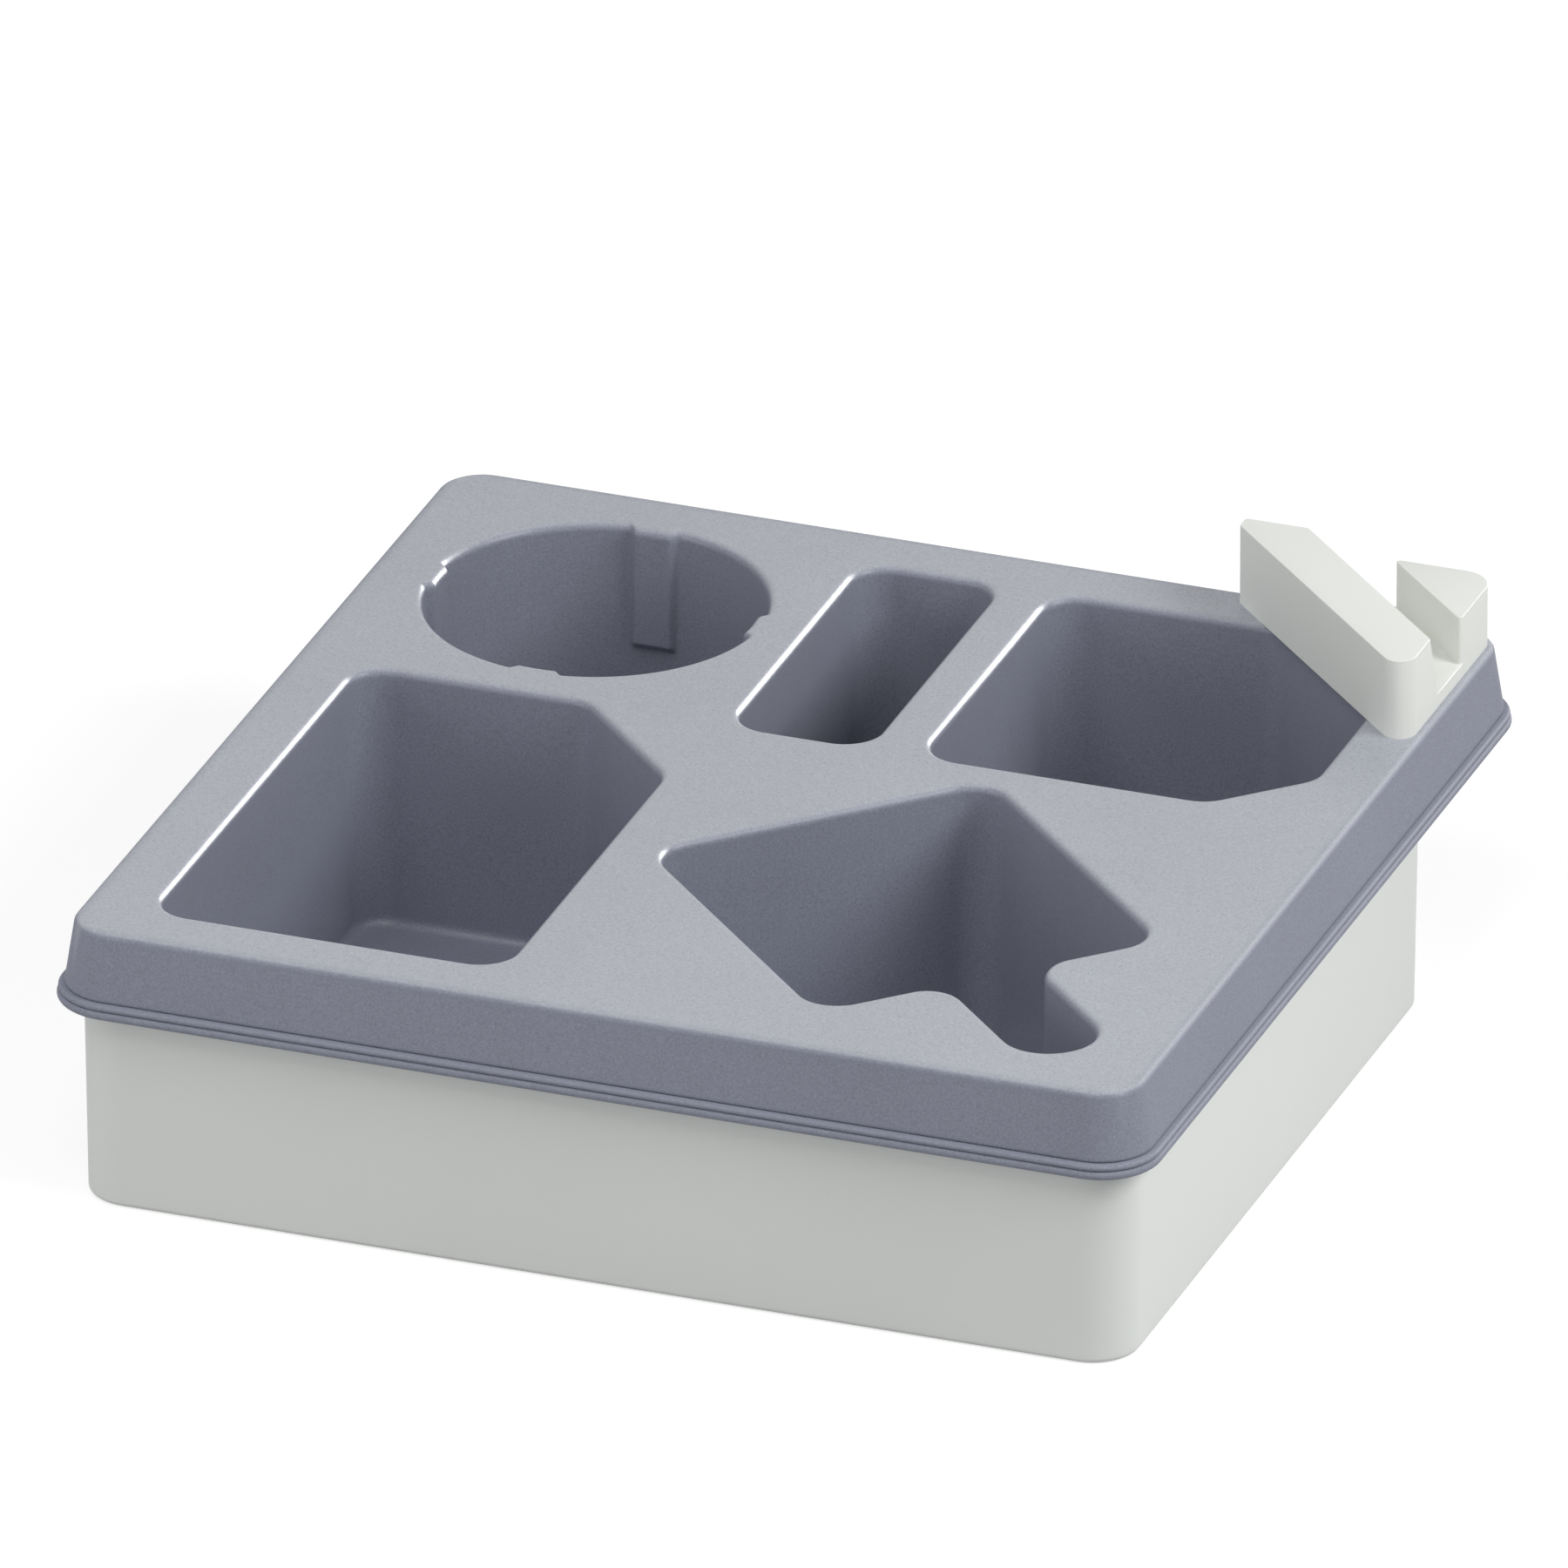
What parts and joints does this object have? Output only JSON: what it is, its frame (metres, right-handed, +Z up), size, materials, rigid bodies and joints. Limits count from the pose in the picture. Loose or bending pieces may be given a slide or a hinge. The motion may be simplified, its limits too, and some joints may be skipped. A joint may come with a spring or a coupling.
{
  "type": "sofa arm tray",
  "caption": "Square sofa tray with shaped pockets for a tumbler, mug, can, snacks and remote, in a rigid box base, with a lift-off phone holder.",
  "frame": {"origin": "middle of the footprint, on the surface that the box stands on", "axes": "+Z up, -Y towards the front, +X to the right seen from the front"},
  "size_m": [0.33, 0.33, 0.111],
  "materials": {
    "box_plastic": "smooth satin pale grey moulded plastic",
    "tray_silicone": "fine matt blue grey silicone",
    "holder_plastic": "smooth satin pale grey moulded plastic"
  },
  "bodies": {
    "box": {"base_box": "box_plastic"},
    "tray": {"tray": "tray_silicone"},
    "holder": {"phone_holder": "holder_plastic"}
  },
  "joints": [
    {"name": "tray_lift", "type": "slide", "parent": "box", "child": "tray", "axis": [0, 0, 1], "range_m": [0, 0.09]},
    {"name": "holder_lift", "type": "slide", "parent": "tray", "child": "holder", "axis": [0, 0, 1], "range_m": [0, 0.04]}
  ]
}
